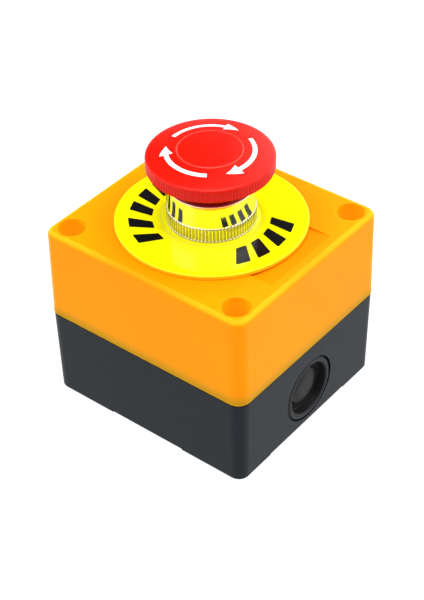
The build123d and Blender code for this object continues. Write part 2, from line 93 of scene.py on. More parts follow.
def rounded(points, radii, n=5, closed=True):
    """Polyline with its corners rounded; radii is a dict of index to radius."""
    out = []
    count = len(points)
    for i, p in enumerate(points):
        r = radii.get(i, 0)
        if not r:
            out.append(p)
            continue
        a = np.array(points[i - 1], float)
        b = np.array(p, float)
        c = np.array(points[(i + 1) % count], float)
        u = (a - b) / np.linalg.norm(a - b)
        v = (c - b) / np.linalg.norm(c - b)
        half = np.arccos(np.clip(u @ v, -1, 1)) / 2
        t = min(r / np.tan(half), 0.49 * np.linalg.norm(a - b), 0.49 * np.linalg.norm(c - b))
        rr = t * np.tan(half)
        centre = b + (u + v) / np.linalg.norm(u + v) * (rr / np.sin(half))
        p0, p1 = b + u * t, b + v * t
        a0 = atan2(*(p0 - centre)[::-1])
        a1 = atan2(*(p1 - centre)[::-1])
        d = (a1 - a0 + pi) % (2 * pi) - pi
        for k in range(n + 1):
            ang = a0 + d * k / n
            out.append((centre[0] + rr * cos(ang), centre[1] + rr * sin(ang)))
    return out


def lathe(name, profile, segments, shape=None, place=None, smooth_angle=30.0):
    """Closed ring of profile points (r, z) in mm turned about Z.  A point on
    the axis becomes one vertex.  shape(r, z, angle) may move a point in or
    out.  place is a matrix in metres."""
    angles = [2 * pi * k / segments for k in range(segments)]
    verts, rows = [], []
    for r, z in profile:
        if r < 1e-6:
            rows.append([len(verts)] * segments)
            verts.append((0.0, 0.0, z * MM))
            continue
        row = []
        for a in angles:
            rr = shape(r, z, a) if shape else r
            row.append(len(verts))
            verts.append((rr * cos(a) * MM, rr * sin(a) * MM, z * MM))
        rows.append(row)
    faces = []
    for i in range(len(rows)):
        a, b = rows[i], rows[(i + 1) % len(rows)]
        if a[0] == a[1] and b[0] == b[1]:
            continue
        for k in range(segments):
            k2 = (k + 1) % segments
            ring = [a[k], a[k2], b[k2], b[k]]
            ring = [v for j, v in enumerate(ring) if v != ring[j - 1]]
            if len(ring) > 2:
                faces.append(ring)
    obj = new_object(name, verts, faces, None)
    if place is not None:
        obj.data.transform(place)
    mesh = obj.data
    # outward normals
    import bmesh
    bm = bmesh.new()
    bm.from_mesh(mesh)
    bmesh.ops.recalc_face_normals(bm, faces=bm.faces)
    bm.to_mesh(mesh)
    bm.free()
    if smooth_angle:
        mesh.polygons.foreach_set("use_smooth", [True] * len(mesh.polygons))
        mesh.set_sharp_from_angle(angle=radians(smooth_angle))
    return obj


def tube(name, points, radius, sides=12):
    """Round wire along points in mm, with flat ends."""
    pts = [Vector(p) for p in points]
    verts, faces = [], []
    up = Vector((0.13, 0.21, 1)).normalized()
    normal = None
    for i, p in enumerate(pts):
        t = (pts[min(i + 1, len(pts) - 1)] - pts[max(i - 1, 0)]).normalized()
        if normal is None:
            normal = (up - t * up.dot(t)).normalized()
        else:
            normal = (normal - t * normal.dot(t)).normalized()
        side = t.cross(normal)
        for k in range(sides):
            a = 2 * pi * k / sides
            verts.append((p + (normal * cos(a) + side * sin(a)) * radius) * MM)
    for i in range(len(pts) - 1):
        for k in range(sides):
            a, b = i * sides + k, i * sides + (k + 1) % sides
            faces.append([a, b, b + sides, a + sides])
    faces.append([k for k in range(sides)][::-1])
    faces.append([(len(pts) - 1) * sides + k for k in range(sides)])
    return new_object(name, verts, faces, 50)


def polar_pad(name, outline_lr, height_of, thick, steps_r=6):
    """Thin pad given as rows (angle, r_in, r_out) in degrees and mm, lying on
    height_of(r), with its own thickness and side walls."""
    verts, faces = [], []
    rows = []
    for ang, r0, r1 in outline_lr:
        row = []
        for j in range(steps_r + 1):
            r = r0 + (r1 - r0) * j / steps_r
            a = radians(ang)
            row.append((r * cos(a), r * sin(a), height_of(r)))
        rows.append(row)
    n, m = len(rows), steps_r + 1
    for lift in (thick, -0.03):
        for row in rows:
            for x, y, z in row:
                verts.append((x * MM, y * MM, (z + lift) * MM))
    low = n * m

    def v(i, j, layer):
        return layer * low + i * m + j

    for i in range(n - 1):
        for j in range(m - 1):
            faces.append([v(i, j, 0), v(i, j + 1, 0), v(i + 1, j + 1, 0), v(i + 1, j, 0)])
            faces.append([v(i, j, 1), v(i + 1, j, 1), v(i + 1, j + 1, 1), v(i, j + 1, 1)])
    for i in range(n - 1):
        for j in (0, m - 1):
            f = [v(i, j, 0), v(i + 1, j, 0), v(i + 1, j, 1), v(i, j, 1)]
            faces.append(f if j == 0 else f[::-1])
    for j in range(m - 1):
        for i in (0, n - 1):
            f = [v(i, j, 0), v(i, j + 1, 0), v(i, j + 1, 1), v(i, j, 1)]
            faces.append(f[::-1] if i == 0 else f)
    obj = new_object(name, verts, faces, None)
    import bmesh
    bm = bmesh.new()
    bm.from_mesh(obj.data)
    bmesh.ops.remove_doubles(bm, verts=bm.verts, dist=1e-7)
    bmesh.ops.dissolve_degenerate(bm, dist=1e-7, edges=bm.edges)
    bmesh.ops.recalc_face_normals(bm, faces=bm.faces)
    bm.to_mesh(obj.data)
    bm.free()
    obj.data.polygons.foreach_set("use_smooth", [True] * len(obj.data.polygons))
    obj.data.set_sharp_from_angle(angle=radians(30))
    return obj


# ---------------------------------------------------------------- materials
def material(name, colour, colour2, rough, rough2, specular=0.5, metallic=0.0,
             mottle=60.0, grain=2600.0, grain_depth=0.004, streak=None,
             coat=0.0, coat_rough=0.1, edge=None, subsurface=0.0, case=False):
    """Moulded or machined surface.  Two tones mixed by slow noise, roughness
    by a second noise, and a fine grain in the bump; streak=(scale, axis)
    adds turning or rolling lines."""
    m = bpy.data.materials.new(name)
    m.use_nodes = True
    nt = m.node_tree
    nt.nodes.clear()
    N, L = nt.nodes.new, nt.links.new
    out = N("ShaderNodeOutputMaterial")
    bsdf = N("ShaderNodeBsdfPrincipled")
    L(bsdf.outputs[0], out.inputs[0])
    bsdf.inputs["Metallic"].default_value = metallic
    bsdf.inputs["Specular IOR Level"].default_value = specular
    if coat:
        bsdf.inputs["Coat Weight"].default_value = coat
        bsdf.inputs["Coat Roughness"].default_value = coat_rough
    if subsurface:
        bsdf.inputs["Subsurface Weight"].default_value = subsurface
        bsdf.inputs["Subsurface Radius"].default_value = (1.0, 0.6, 0.1)
        bsdf.inputs["Subsurface Scale"].default_value = 0.004
    tc = N("ShaderNodeTexCoord")
    slow = N("ShaderNodeTexNoise")
    slow.inputs["Scale"].default_value = mottle
    slow.inputs["Detail"].default_value = 3
    L(tc.outputs["Object"], slow.inputs["Vector"])
    tone = N("ShaderNodeMix")
    tone.data_type = "RGBA"
    tone.inputs["A"].default_value = (*colour, 1)
    tone.inputs["B"].default_value = (*colour2, 1)
    ramp = N("ShaderNodeMapRange")
    ramp.inputs["From Min"].default_value = 0.35
    ramp.inputs["From Max"].default_value = 0.65
    L(slow.outputs["Fac"], ramp.inputs["Value"])
    L(ramp.outputs["Result"], tone.inputs["Factor"])
    colour_out = tone.outputs["Result"]
    if edge:
        # worn or thin edges: a bevel normal that leaves the face normal
        (er, eg, eb), width, gain = edge
        bev = N("ShaderNodeBevel")
        bev.samples = 4
        bev.inputs["Radius"].default_value = width
        geo = N("ShaderNodeNewGeometry")
        dot = N("ShaderNodeVectorMath")
        dot.operation = "DOT_PRODUCT"
        L(bev.outputs[0], dot.inputs[0])
        L(geo.outputs["Normal"], dot.inputs[1])
        inv = N("ShaderNodeMapRange")
        inv.inputs["From Min"].default_value = 1.0
        inv.inputs["From Max"].default_value = 0.8
        inv.inputs["To Min"].default_value = 0.0
        inv.inputs["To Max"].default_value = gain
        L(dot.outputs["Value"], inv.inputs["Value"])
        mix = N("ShaderNodeMix")
        mix.data_type = "RGBA"
        mix.inputs["B"].default_value = (er, eg, eb, 1)
        L(colour_out, mix.inputs["A"])
        L(inv.outputs["Result"], mix.inputs["Factor"])
        colour_out = mix.outputs["Result"]
    if case:
        # the lower walls of the lid are darker towards the seam with the base
        pos = N("ShaderNodeSeparateXYZ")
        L(tc.outputs["Object"], pos.inputs[0])
        low = N("ShaderNodeMapRange")
        low.interpolation_type = "SMOOTHSTEP"
        low.inputs["From Min"].default_value = 0.0318
        low.inputs["From Max"].default_value = 0.0370
        low.inputs["To Min"].default_value = 0.95
        low.inputs["To Max"].default_value = 0.0
        L(pos.outputs["Z"], low.inputs["Value"])
        low_band = N("ShaderNodeMix")
        low_band.data_type = "RGBA"
        low_band.inputs["B"].default_value = (0.52, 0.262, 0.008, 1)
        L(low.outputs["Result"], low_band.inputs["Factor"])
        L(colour_out, low_band.inputs["A"])
        colour_out = low_band.outputs["Result"]
        # painted light: inside the screw bores, below the mouth, the colour is painted paler and a small emission is
        # added, standing in for light passing through the walls
        dx = N("ShaderNodeMath")
        dx.operation = "ABSOLUTE"
        dy = N("ShaderNodeMath")
        dy.operation = "ABSOLUTE"
        L(pos.outputs["X"], dx.inputs[0])
        L(pos.outputs["Y"], dy.inputs[0])
        at = N("ShaderNodeCombineXYZ")
        L(dx.outputs[0], at.inputs["X"])
        L(dy.outputs[0], at.inputs["Y"])
        away = N("ShaderNodeVectorMath")
        away.operation = "DISTANCE"
        away.inputs[1].default_value = (0.029, 0.0318, 0)
        L(at.outputs[0], away.inputs[0])
        bore = N("ShaderNodeMath")
        bore.operation = "LESS_THAN"
        bore.inputs[1].default_value = 0.00465
        L(away.outputs["Value"], bore.inputs[0])
        deep = N("ShaderNodeMath")
        deep.operation = "LESS_THAN"
        deep.inputs[1].default_value = 0.0628
        L(pos.outputs["Z"], deep.inputs[0])
        both = N("ShaderNodeMath")
        both.operation = "MULTIPLY"
        L(bore.outputs[0], both.inputs[0])
        L(deep.outputs[0], both.inputs[1])
        # painted highlight: the rounded edges, a face between flat and upright, are painted paler
        geo = N("ShaderNodeNewGeometry")
        nz = N("ShaderNodeSeparateXYZ")
        L(geo.outputs["Normal"], nz.inputs[0])
        up = N("ShaderNodeMapRange")
        up.interpolation_type = "SMOOTHSTEP"
        up.inputs["From Min"].default_value = 0.32
        up.inputs["From Max"].default_value = 0.66
        L(nz.outputs["Z"], up.inputs["Value"])
        down = N("ShaderNodeMapRange")
        down.interpolation_type = "SMOOTHSTEP"
        down.inputs["From Min"].default_value = 0.997
        down.inputs["From Max"].default_value = 0.95
        L(nz.outputs["Z"], down.inputs["Value"])
        both_edge = N("ShaderNodeMath")
        both_edge.operation = "MULTIPLY"
        L(up.outputs["Result"], both_edge.inputs[0])
        L(down.outputs["Result"], both_edge.inputs[1])
        clear = N("ShaderNodeMath")
        clear.operation = "GREATER_THAN"
        clear.inputs[1].default_value = 0.0052
        L(away.outputs["Value"], clear.inputs[0])
        edge_highlight_mask = N("ShaderNodeMath")
        edge_highlight_mask.operation = "MULTIPLY"
        L(both_edge.outputs[0], edge_highlight_mask.inputs[0])
        L(clear.outputs[0], edge_highlight_mask.inputs[1])
        pale = N("ShaderNodeMix")
        pale.data_type = "RGBA"
        pale.inputs["B"].default_value = (0.98, 0.405, 0.005, 1)
        L(edge_highlight_mask.outputs[0], pale.inputs["Factor"])
        L(colour_out, pale.inputs["A"])
        colour_out = pale.outputs["Result"]
        # painted shade: the middle of the top, round the plate and under the head, is painted a deeper tone where the
        # head's shadow falls
        ring = N("ShaderNodeVectorMath")
        ring.operation = "LENGTH"
        flat_at = N("ShaderNodeCombineXYZ")
        L(pos.outputs["X"], flat_at.inputs["X"])
        L(pos.outputs["Y"], flat_at.inputs["Y"])
        L(flat_at.outputs[0], ring.inputs[0])
        mid = N("ShaderNodeMapRange")
        mid.interpolation_type = "SMOOTHSTEP"
        mid.inputs["From Min"].default_value = 0.030
        mid.inputs["From Max"].default_value = 0.042
        mid.inputs["To Min"].default_value = 1.0
        mid.inputs["To Max"].default_value = 0.0
        L(ring.outputs["Value"], mid.inputs["Value"])
        top_only = N("ShaderNodeMath")
        top_only.operation = "GREATER_THAN"
        top_only.inputs[1].default_value = 0.0615
        L(pos.outputs["Z"], top_only.inputs[0])
        head_shadow_fac = N("ShaderNodeMath")
        head_shadow_fac.operation = "MULTIPLY"
        L(mid.outputs["Result"], head_shadow_fac.inputs[0])
        L(top_only.outputs[0], head_shadow_fac.inputs[1])
        paint_head_shadow = N("ShaderNodeMix")
        paint_head_shadow.data_type = "RGBA"
        paint_head_shadow.inputs["B"].default_value = (0.93, 0.252, 0.0001, 1)
        L(head_shadow_fac.outputs[0], paint_head_shadow.inputs["Factor"])
        L(colour_out, paint_head_shadow.inputs["A"])
        colour_out = paint_head_shadow.outputs["Result"]
        # painted shade: the ramped pocket is painted a deeper orange than the top round it
        pocket = None
        for source, operation, limit in ((dx.outputs[0], "LESS_THAN", 0.01505),
                                         (pos.outputs["Y"], "GREATER_THAN", -0.0340),
                                         (pos.outputs["Y"], "LESS_THAN", 0.0152),
                                         (pos.outputs["Z"], "GREATER_THAN", 0.0618)):
            test = N("ShaderNodeMath")
            test.operation = operation
            test.inputs[1].default_value = limit
            L(source, test.inputs[0])
            if pocket is None:
                pocket = test.outputs[0]
            else:
                product = N("ShaderNodeMath")
                product.operation = "MULTIPLY"
                L(pocket, product.inputs[0])
                L(test.outputs[0], product.inputs[1])
                pocket = product.outputs[0]
        pocket_painted_shade = N("ShaderNodeMix")
        pocket_painted_shade.data_type = "RGBA"
        pocket_painted_shade.inputs["B"].default_value = (0.94, 0.236, 0.0001, 1)
        L(pocket, pocket_painted_shade.inputs["Factor"])
        L(colour_out, pocket_painted_shade.inputs["A"])
        colour_out = pocket_painted_shade.outputs["Result"]
        # painted light and shade inside a bore: the wider part below the step is painted paler than the neck
        neck = N("ShaderNodeMapRange")
        neck.inputs["From Min"].default_value = 0.0610
        neck.inputs["From Max"].default_value = 0.0616
        L(pos.outputs["Z"], neck.inputs["Value"])
        bore_painted_tone = N("ShaderNodeMix")
        bore_painted_tone.data_type = "RGBA"
        bore_painted_tone.inputs["A"].default_value = (1.0, 0.47, 0.010, 1)
        bore_painted_tone.inputs["B"].default_value = (0.97, 0.40, 0.001, 1)
        L(neck.outputs["Result"], bore_painted_tone.inputs["Factor"])
        lit = N("ShaderNodeMix")
        lit.data_type = "RGBA"
        L(bore_painted_tone.outputs["Result"], lit.inputs["B"])
        L(both.outputs[0], lit.inputs["Factor"])
        L(colour_out, lit.inputs["A"])
        colour_out = lit.outputs["Result"]
        # painted light: a small emission in the bores, though they are no lamp
        bore_painted_glow = N("ShaderNodeMix")
        bore_painted_glow.data_type = "RGBA"
        bore_painted_glow.inputs["A"].default_value = (0, 0, 0, 1)
        bore_painted_glow.inputs["B"].default_value = (0.20, 0.072, 0, 1)
        L(both.outputs[0], bore_painted_glow.inputs["Factor"])
        L(bore_painted_glow.outputs["Result"], bsdf.inputs["Emission Color"])
        bsdf.inputs["Emission Strength"].default_value = 1.0
    L(colour_out, bsdf.inputs["Base Color"])
    wear = N("ShaderNodeTexNoise")
    wear.inputs["Scale"].default_value = mottle * 4.7
    wear.inputs["Detail"].default_value = 4
    L(tc.outputs["Object"], wear.inputs["Vector"])
    rr = N("ShaderNodeMapRange")
    rr.inputs["From Min"].default_value = 0.3
    rr.inputs["From Max"].default_value = 0.7
    rr.inputs["To Min"].default_value = rough
    rr.inputs["To Max"].default_value = rough2
    L(wear.outputs["Fac"], rr.inputs["Value"])
    rough_out = rr.outputs["Result"]
    if case:
        # the cored screw bores are polished, the outside is satin
        pol = N("ShaderNodeMix")
        pol.data_type = "FLOAT"
        pol.inputs["B"].default_value = 0.14
        L(both.outputs[0], pol.inputs["Factor"])
        L(rough_out, pol.inputs["A"])
        rough_out = pol.outputs["Result"]
    L(rough_out, bsdf.inputs["Roughness"])
    fine = N("ShaderNodeTexNoise")
    fine.inputs["Scale"].default_value = grain
    fine.inputs["Detail"].default_value = 2
    L(tc.outputs["Object"], fine.inputs["Vector"])
    height = fine.outputs["Fac"]
    if streak:
        scale, axis = streak
        mp = N("ShaderNodeMapping")
        mp.inputs["Scale"].default_value = (0.02, 0.02, 1) if axis == "Z" else (1, 0.02, 0.02)
        st = N("ShaderNodeTexNoise")
        st.inputs["Scale"].default_value = scale
        L(tc.outputs["Object"], mp.inputs["Vector"])
        L(mp.outputs[0], st.inputs["Vector"])
        add = N("ShaderNodeMath")
        add.operation = "ADD"
        L(fine.outputs["Fac"], add.inputs[0])
        L(st.outputs["Fac"], add.inputs[1])
        height = add.outputs[0]
    bump = N("ShaderNodeBump")
    bump.inputs["Strength"].default_value = 1.0
    bump.inputs["Distance"].default_value = grain_depth * MM
    L(height, bump.inputs["Height"])
    L(bump.outputs[0], bsdf.inputs["Normal"])
    return m


M = {}
M["yellow_case"] = material("yellow_case", (0.96, 0.300, 0.0002), (0.95, 0.288, 0.0002), 0.34, 0.44, specular=0.045,
                            mottle=28, grain=2300, grain_depth=0.004, case=True, subsurface=0.4)
M["black_case"] = material("black_case", (0.0021, 0.0056, 0.0098), (0.0027, 0.0063, 0.0108), 0.43, 0.47, specular=0.17,
                           mottle=55, grain=2300, grain_depth=0.005)
M["legend_yellow"] = material("legend_yellow", (0.93, 0.90, 0.002), (0.90, 0.87, 0.0015), 0.10, 0.18, specular=0.15,
                              mottle=60, grain=900, grain_depth=0.0008)
M["legend_black"] = material("legend_black", (0.004, 0.004, 0.004), (0.006, 0.006, 0.006), 0.16, 0.24, specular=0.22,
                             mottle=80, grain=1800, grain_depth=0.002)
M["red_head"] = material("red_head", (0.645, 0.0068, 0.0014), (0.62, 0.0060, 0.0012), 0.26, 0.34, specular=0.16,
                         mottle=50, grain=1700, grain_depth=0.0025)
# painted highlight: a paler red for the ring on the crown
M["red_ring"] = material("red_ring", (0.84, 0.085, 0.060), (0.81, 0.078, 0.055), 0.20, 0.28, specular=0.3,
                         mottle=50, grain=1700, grain_depth=0.0015)
# painted reflection: a deeper golden tone for the rim of the plate
M["legend_edge"] = material("legend_edge", (0.93, 0.56, 0.004), (0.90, 0.53, 0.004), 0.24, 0.34, specular=0.2,
                            mottle=60, grain=2000, grain_depth=0.003)
M["print_white"] = material("print_white", (0.93, 0.93, 0.93), (0.88, 0.88, 0.885), 0.3, 0.42, specular=0.4,
                            mottle=150, grain=2500, grain_depth=0.003)
M["dark_red"] = material("dark_red", (0.42, 0.006, 0.004), (0.34, 0.005, 0.003), 0.4, 0.5, specular=0.3,
                         mottle=80, grain=2000, grain_depth=0.004)
M["chrome_trim"] = material("chrome_trim", (0.90, 0.905, 0.91), (0.86, 0.865, 0.87), 0.05, 0.11, metallic=1.0,
                            mottle=120, grain=900, grain_depth=0.0006, streak=(9000, "Z"))
# painted shade: a darker, duller chrome for the flutes and the collar's lower edge
M["chrome_flute"] = material("chrome_flute", (0.56, 0.51, 0.40), (0.48, 0.44, 0.34), 0.22, 0.34, metallic=1.0,
                             mottle=300, grain=3000, grain_depth=0.003)
M["black_rubber"] = material("black_rubber", (0.005, 0.0055, 0.0065), (0.007, 0.0075, 0.009), 0.42, 0.56, specular=0.22,
                             mottle=150, grain=3000, grain_depth=0.006)
M["black_plastic"] = material("black_plastic", (0.020, 0.020, 0.022), (0.028, 0.028, 0.030), 0.34, 0.46,
                              mottle=110, grain=2600, grain_depth=0.005)
M["grey_plastic"] = material("grey_plastic", (0.16, 0.165, 0.17), (0.14, 0.145, 0.15), 0.36, 0.48,
                             mottle=110, grain=2600, grain_depth=0.005)
M["nc_red_plastic"] = material("nc_red_plastic", (0.36, 0.008, 0.006), (0.31, 0.007, 0.005), 0.34, 0.46,
                               mottle=110, grain=2600, grain_depth=0.005)
M["no_green_plastic"] = material("no_green_plastic", (0.008, 0.115, 0.017), (0.006, 0.098, 0.014), 0.34, 0.46,
                                 mottle=110, grain=2600, grain_depth=0.005)
M["zinc_steel"] = material("zinc_steel", (0.60, 0.60, 0.585), (0.50, 0.51, 0.52), 0.24, 0.38, metallic=1.0,
                           mottle=260, grain=3600, grain_depth=0.004)
M["spring_steel"] = material("spring_steel", (0.50, 0.50, 0.51), (0.40, 0.40, 0.42), 0.22, 0.34, metallic=1.0,
                             mottle=300, grain=4200, grain_depth=0.003)
M["contact_brass"] = material("contact_brass", (0.66, 0.44, 0.13), (0.58, 0.37, 0.10), 0.24, 0.36, metallic=1.0,
                              mottle=220, grain=3000, grain_depth=0.003, streak=(5000, "X"))

slots = {s["node"]: s["material_slot"] for s in frame["record"]["subparts"]}


def assign(obj, mat):
    if obj.data.materials:
        for i in range(len(obj.data.materials)):
            obj.data.materials[i] = mat
    else:
        obj.data.materials.append(mat)


for node, obj in frame["nodes"].items():
    if slots.get(node) in M:
        assign(obj, M[slots[node]])


def finish_piece(obj, mat, body, replaces=()):
    assign(obj, M[mat])
    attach(obj, body)
    if replaces:
        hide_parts(*replaces)
    return obj


# ---------------------------------------------------------------- mushroom head
RING_R, RING_W, RING_D = 10.0, 0.30, 0.2
RIB_TOP = 86.75


def head_profile():
    pts = [(0, 85.0), (12.0, 85.0), (12.0, HEAD_LOW)]
    pts += rounded([(12.0, HEAD_LOW), (13.6, HEAD_LOW), (14.0, 86.2), (17.6, 86.0), (17.9, HEAD_LOW)],
                   {2: 0.5, 3: 0.5})[1:]
    # lower edge of the rim and its ribbed band
    pts += [(18.9, HEAD_LOW), (19.3, HEAD_LOW + 0.05), (19.55, HEAD_LOW + 0.2)]
    for z in (83.75, 84.4, 85.2, 86.0, 86.5, RIB_TOP):
        pts.append((HEAD_R - 0.02, z))
    pts.append((HEAD_R, RIB_TOP + 0.1))
    # rounded shoulder from the rim into the crown
    p0 = np.array((HEAD_R, RIB_TOP + 0.1))
    p3 = np.array((HEAD_EDGE_R, crown(HEAD_EDGE_R)))
    slope = -HEAD_EDGE_R / sqrt(CROWN_R ** 2 - HEAD_EDGE_R ** 2)
    t3 = np.array((-1.0, -slope)) / sqrt(1 + slope * slope)
    c1 = p0 + np.array((0, 0.72))
    c2 = p3 - t3 * 0.85
    for i in range(1, 11):
        t = i / 10
        p = (1 - t) ** 3 * p0 + 3 * (1 - t) ** 2 * t * c1 + 3 * (1 - t) * t * t * c2 + t ** 3 * p3
        pts.append((float(p[0]), float(p[1])))
    rs = list(np.linspace(HEAD_EDGE_R, RING_R + 0.6, 9)[1:])
    rs += [RING_R + w for w in (0.34, RING_W, 0.13, 0.05, -0.05, -0.13, -RING_W, -0.34)]
    rs += list(np.linspace(RING_R - 0.6, 0, 9))
    for r in rs:
        r = float(r)
        d = RING_D * max(0.0, cos(min(abs(r - RING_R) / RING_W, 1) * pi / 2)) ** 1.2
        pts.append((r, crown(r) - d if r > 1e-6 else HEAD_CROWN))
    return pts


def head_ribs(r, z, a):
    if 83.7 < z < RIB_TOP + 0.05 and r > 19:
        w = 0.5 + 0.5 * cos(RIBS * a)
        return r - 0.15 * (w ** 1.6)
    return r


head = lathe("mushroom_head_cap", head_profile(), RIBS * 8, shape=head_ribs, smooth_angle=38)
finish_piece(head, "red_head", "head", replaces=("mushroom_head",))
# painted highlight: the moulded ring on the crown is painted paler than the rest, standing in for light caught on its
# slopes
head.data.materials.append(M["red_ring"])
for poly in head.data.polygons:
    c = poly.center / MM
    if c.z > 88.5 and abs(c.xy.length - RING_R) < 0.2:
        poly.material_index = 1

# three turn arrows printed on the dome, clockwise
for k in range(3):
    turn = -120 * k
    rows = []
    a_tail, a_base, a_tip = 94.0, 18.2, -1.5
    for i in range(41):
        a = a_tail + (a_base - a_tail) * i / 40
        rows.append((a + turn, 12.68, 14.08))
    rows2 = []
    for i in range(17):
        t = i / 16
        a = a_base + (a_tip - a_base) * t
        inner = 11.3 + (13.4 - 11.3) * t
        outer = 15.4 + (13.4 - 15.4) * t
        rows2.append((a + turn, inner, max(outer, inner + 0.002)))
    stem = polar_pad(f"turn_arrow_{k + 1}_shaft", rows, crown, 0.035, 3)
    tip = polar_pad(f"turn_arrow_{k + 1}_head", rows2, crown, 0.036, 4)
    for piece in (stem, tip):
        finish_piece(piece, "print_white", "head")

# ---------------------------------------------------------------- collar nut
collar = [
    (10.9, 64.7), (11.6, 64.7), (11.6, 65.7), (13.2, 65.7), (13.2, 64.7),
    (13.98, 64.7), (14.05, 64.76), (14.05, 65.0), (14.05, 65.15),
    (14.05, 66.2), (14.05, 67.4), (14.05, 68.5), (14.05, 69.15), (14.0, 69.35), (13.92, 69.5), (13.84, 69.6),
    (13.76, 69.66), (13.72, 69.8), (13.70, 70.2), (13.70, 72.0), (13.70, 74.4), (13.71, 76.3), (13.71, 77.2),
]
collar += arc(13.53, 77.42, 0.18, 0, 90, 8)
collar += [(12.7, 77.6), (12.52, 77.55), (12.42, 77.42), (12.4, 77.25), (12.4, 67.4), (10.9, 67.4)]


def flutes(r, z, a):
    if 65.1 < z < 70.0 and r > 13.5:
        pitch = 2 * pi * 14.05 / FLUTES
        s = ((a * FLUTES / (2 * pi)) % 1.0 - 0.5) * pitch
        w = 0.37
        depth = 0.0
        if abs(s) < w:
            depth = 0.34 * sqrt(1 - (s / w) ** 2)
        return min(r, 14.08 - depth)
    return r


nut = lathe("collar_nut_turned", collar, FLUTES * 12, shape=flutes, smooth_angle=32)
finish_piece(nut, "chrome_trim", "housing", replaces=("collar_nut",))
# painted shade: down in the flutes, and on the collar's lower edge by the plate, the chrome is painted darker and
# duller, standing in for shade in the grooves and a contact shadow
nut.data.materials.append(M["chrome_flute"])
for poly in nut.data.polygons:
    c = poly.center / MM
    if 65.2 < c.z < 69.45 and 13.3 < c.xy.length < 13.97:
        poly.material_index = 1
    if c.z < 65.08 and c.xy.length > 13.9:
        poly.material_index = 1

# ---------------------------------------------------------------- legend plate
plate = [(HOLE_R, LID_TOP), (PLATE_R - 0.15, LID_TOP), (PLATE_R, LID_TOP + 0.15), (PLATE_R, PLATE_TOP - 0.5)]
plate += arc(PLATE_R - 0.5, PLATE_TOP - 0.5, 0.5, 8, 90, 9)
plate += [(27.0, PLATE_TOP), (22.0, PLATE_TOP), (17.0, PLATE_TOP), (15.42, PLATE_TOP), (15.32, PLATE_TOP - 0.05),
          (15.2, PLATE_TOP - 0.08), (15.08, PLATE_TOP - 0.05), (14.98, PLATE_TOP), (12.0, PLATE_TOP), (HOLE_R, PLATE_TOP)]
plate_obj = lathe("legend_plate_disc", plate, 256, smooth_angle=35)
finish_piece(plate_obj, "legend_yellow", "housing", replaces=("legend_plate",))
# painted reflection: the rim of the plate is painted a deeper golden tone than its printed face, standing in for the
# orange lid reflected in it
plate_obj.data.materials.append(M["legend_edge"])
for poly in plate_obj.data.polygons:
    c = poly.center / MM
    if c.xy.length > PLATE_R - 0.6 and c.z < PLATE_TOP - 0.22:
        poly.material_index = 1


def bar(name, angle, r_mid=22.0, height=7.4, width=4.1, slant=1.4, thick=0.05):
    """Slanted warning bar on the plate, square to the radius at angle."""
    pts = [(-width / 2 - slant, -height / 2), (width / 2 - slant, -height / 2), (width / 2 + slant, height / 2), (-width / 2 + slant, height / 2)]
    pts = rounded(pts, {0: 0.35, 1: 0.35, 2: 0.35, 3: 0.35}, 5)
    # bars curve with the band: x runs along the circle, y along the radius
    verts, n = [], len(pts)
    for lift in (thick, -0.03):
        for x, y in pts:
            a = radians(angle) - x / r_mid
            r = r_mid + y
            verts.append((r * cos(a) * MM, r * sin(a) * MM, (PLATE_TOP + lift) * MM))
    faces = [list(range(n)), list(range(n, 2 * n))[::-1]]
    for i in range(n):
        j = (i + 1) % n
        faces.append([i, i + n, j + n, j])
    obj = new_object(name, verts, faces, 30)
    import bmesh
    bm = bmesh.new()
    bm.from_mesh(obj.data)
    bmesh.ops.recalc_face_normals(bm, faces=bm.faces)
    bm.to_mesh(obj.data)
    bm.free()
    return obj


marks = [-116.6, -100.2, -82.1, -64.1]
for i, a in enumerate(marks):
    finish_piece(bar(f"legend_bar_front_{i + 1}", a), "legend_black", "housing")
back = [158.0, 138.0, 118.0, 100.8, 84.0, 67.0, 50.0, 33.0, 16.0]
for i, a in enumerate(back):
    finish_piece(bar(f"legend_bar_back_{i + 1}", a), "legend_black", "housing")

# ---------------------------------------------------------------- cable grommet
Y_FACE = -(77.5 / 2 - 0.20 - 0.52 * (31.6 - 14.0) / 31.6)
Y_REC = -(77.5 / 2 - 1.8)
Y_IN = -71.5 / 2


def grommet_profile():
    # (r, depth) with depth measured inwards from the end wall
    d = lambda y: y - Y_FACE
    pts = [
        (9.1, 0.35), (9.6, -0.05), (10.4, -0.05), (11.05, 0.45), (11.15, d(Y_REC)), (10.3, d(Y_REC)),
        (10.3, d(Y_IN)), (11.3, d(Y_IN)), (11.1, d(Y_IN) + 1.2), (9.6, d(Y_IN) + 2.2), (0, d(Y_IN) + 2.2),
        (0, 1.3), (4.0, 1.55), (6.3, 2.3), (6.8, 3.0), (6.9, d(Y_IN) + 0.7), (8.9, d(Y_IN) + 0.7)]
    return rounded(pts, {0: 0.3, 1: 0.3, 2: 0.35, 3: 0.35, 12: 6, 13: 1.0, 14: 0.5, 15: 0.3, 16: 0.3}, 4)


grom = lathe("cable_grommet_moulding", grommet_profile(), 160, smooth_angle=32,
             place=Matrix.Translation((0, Y_FACE * MM, 14.0 * MM)) @ Matrix.Rotation(radians(-90), 4, "X"))
finish_piece(grom, "black_rubber", "housing", replaces=("cable_grommet",))


# ---------------------------------------------------------------- springs
def coil_points(mean_r, z0, z1, turns, wire, steps=36):
    out = []
    n = int(turns * steps)
    for i in range(n + 1):
        t = i / n
        a = 2 * pi * turns * t
        out.append((mean_r * cos(a), mean_r * sin(a), z0 + wire + (z1 - z0 - 2 * wire) * t))
    return out


def spring(name, node, body, pts, wire, sides=10):
    obj = tube(name, pts, wire, sides)
    finish_piece(obj, "spring_steel", body, replaces=(node,))
    return obj


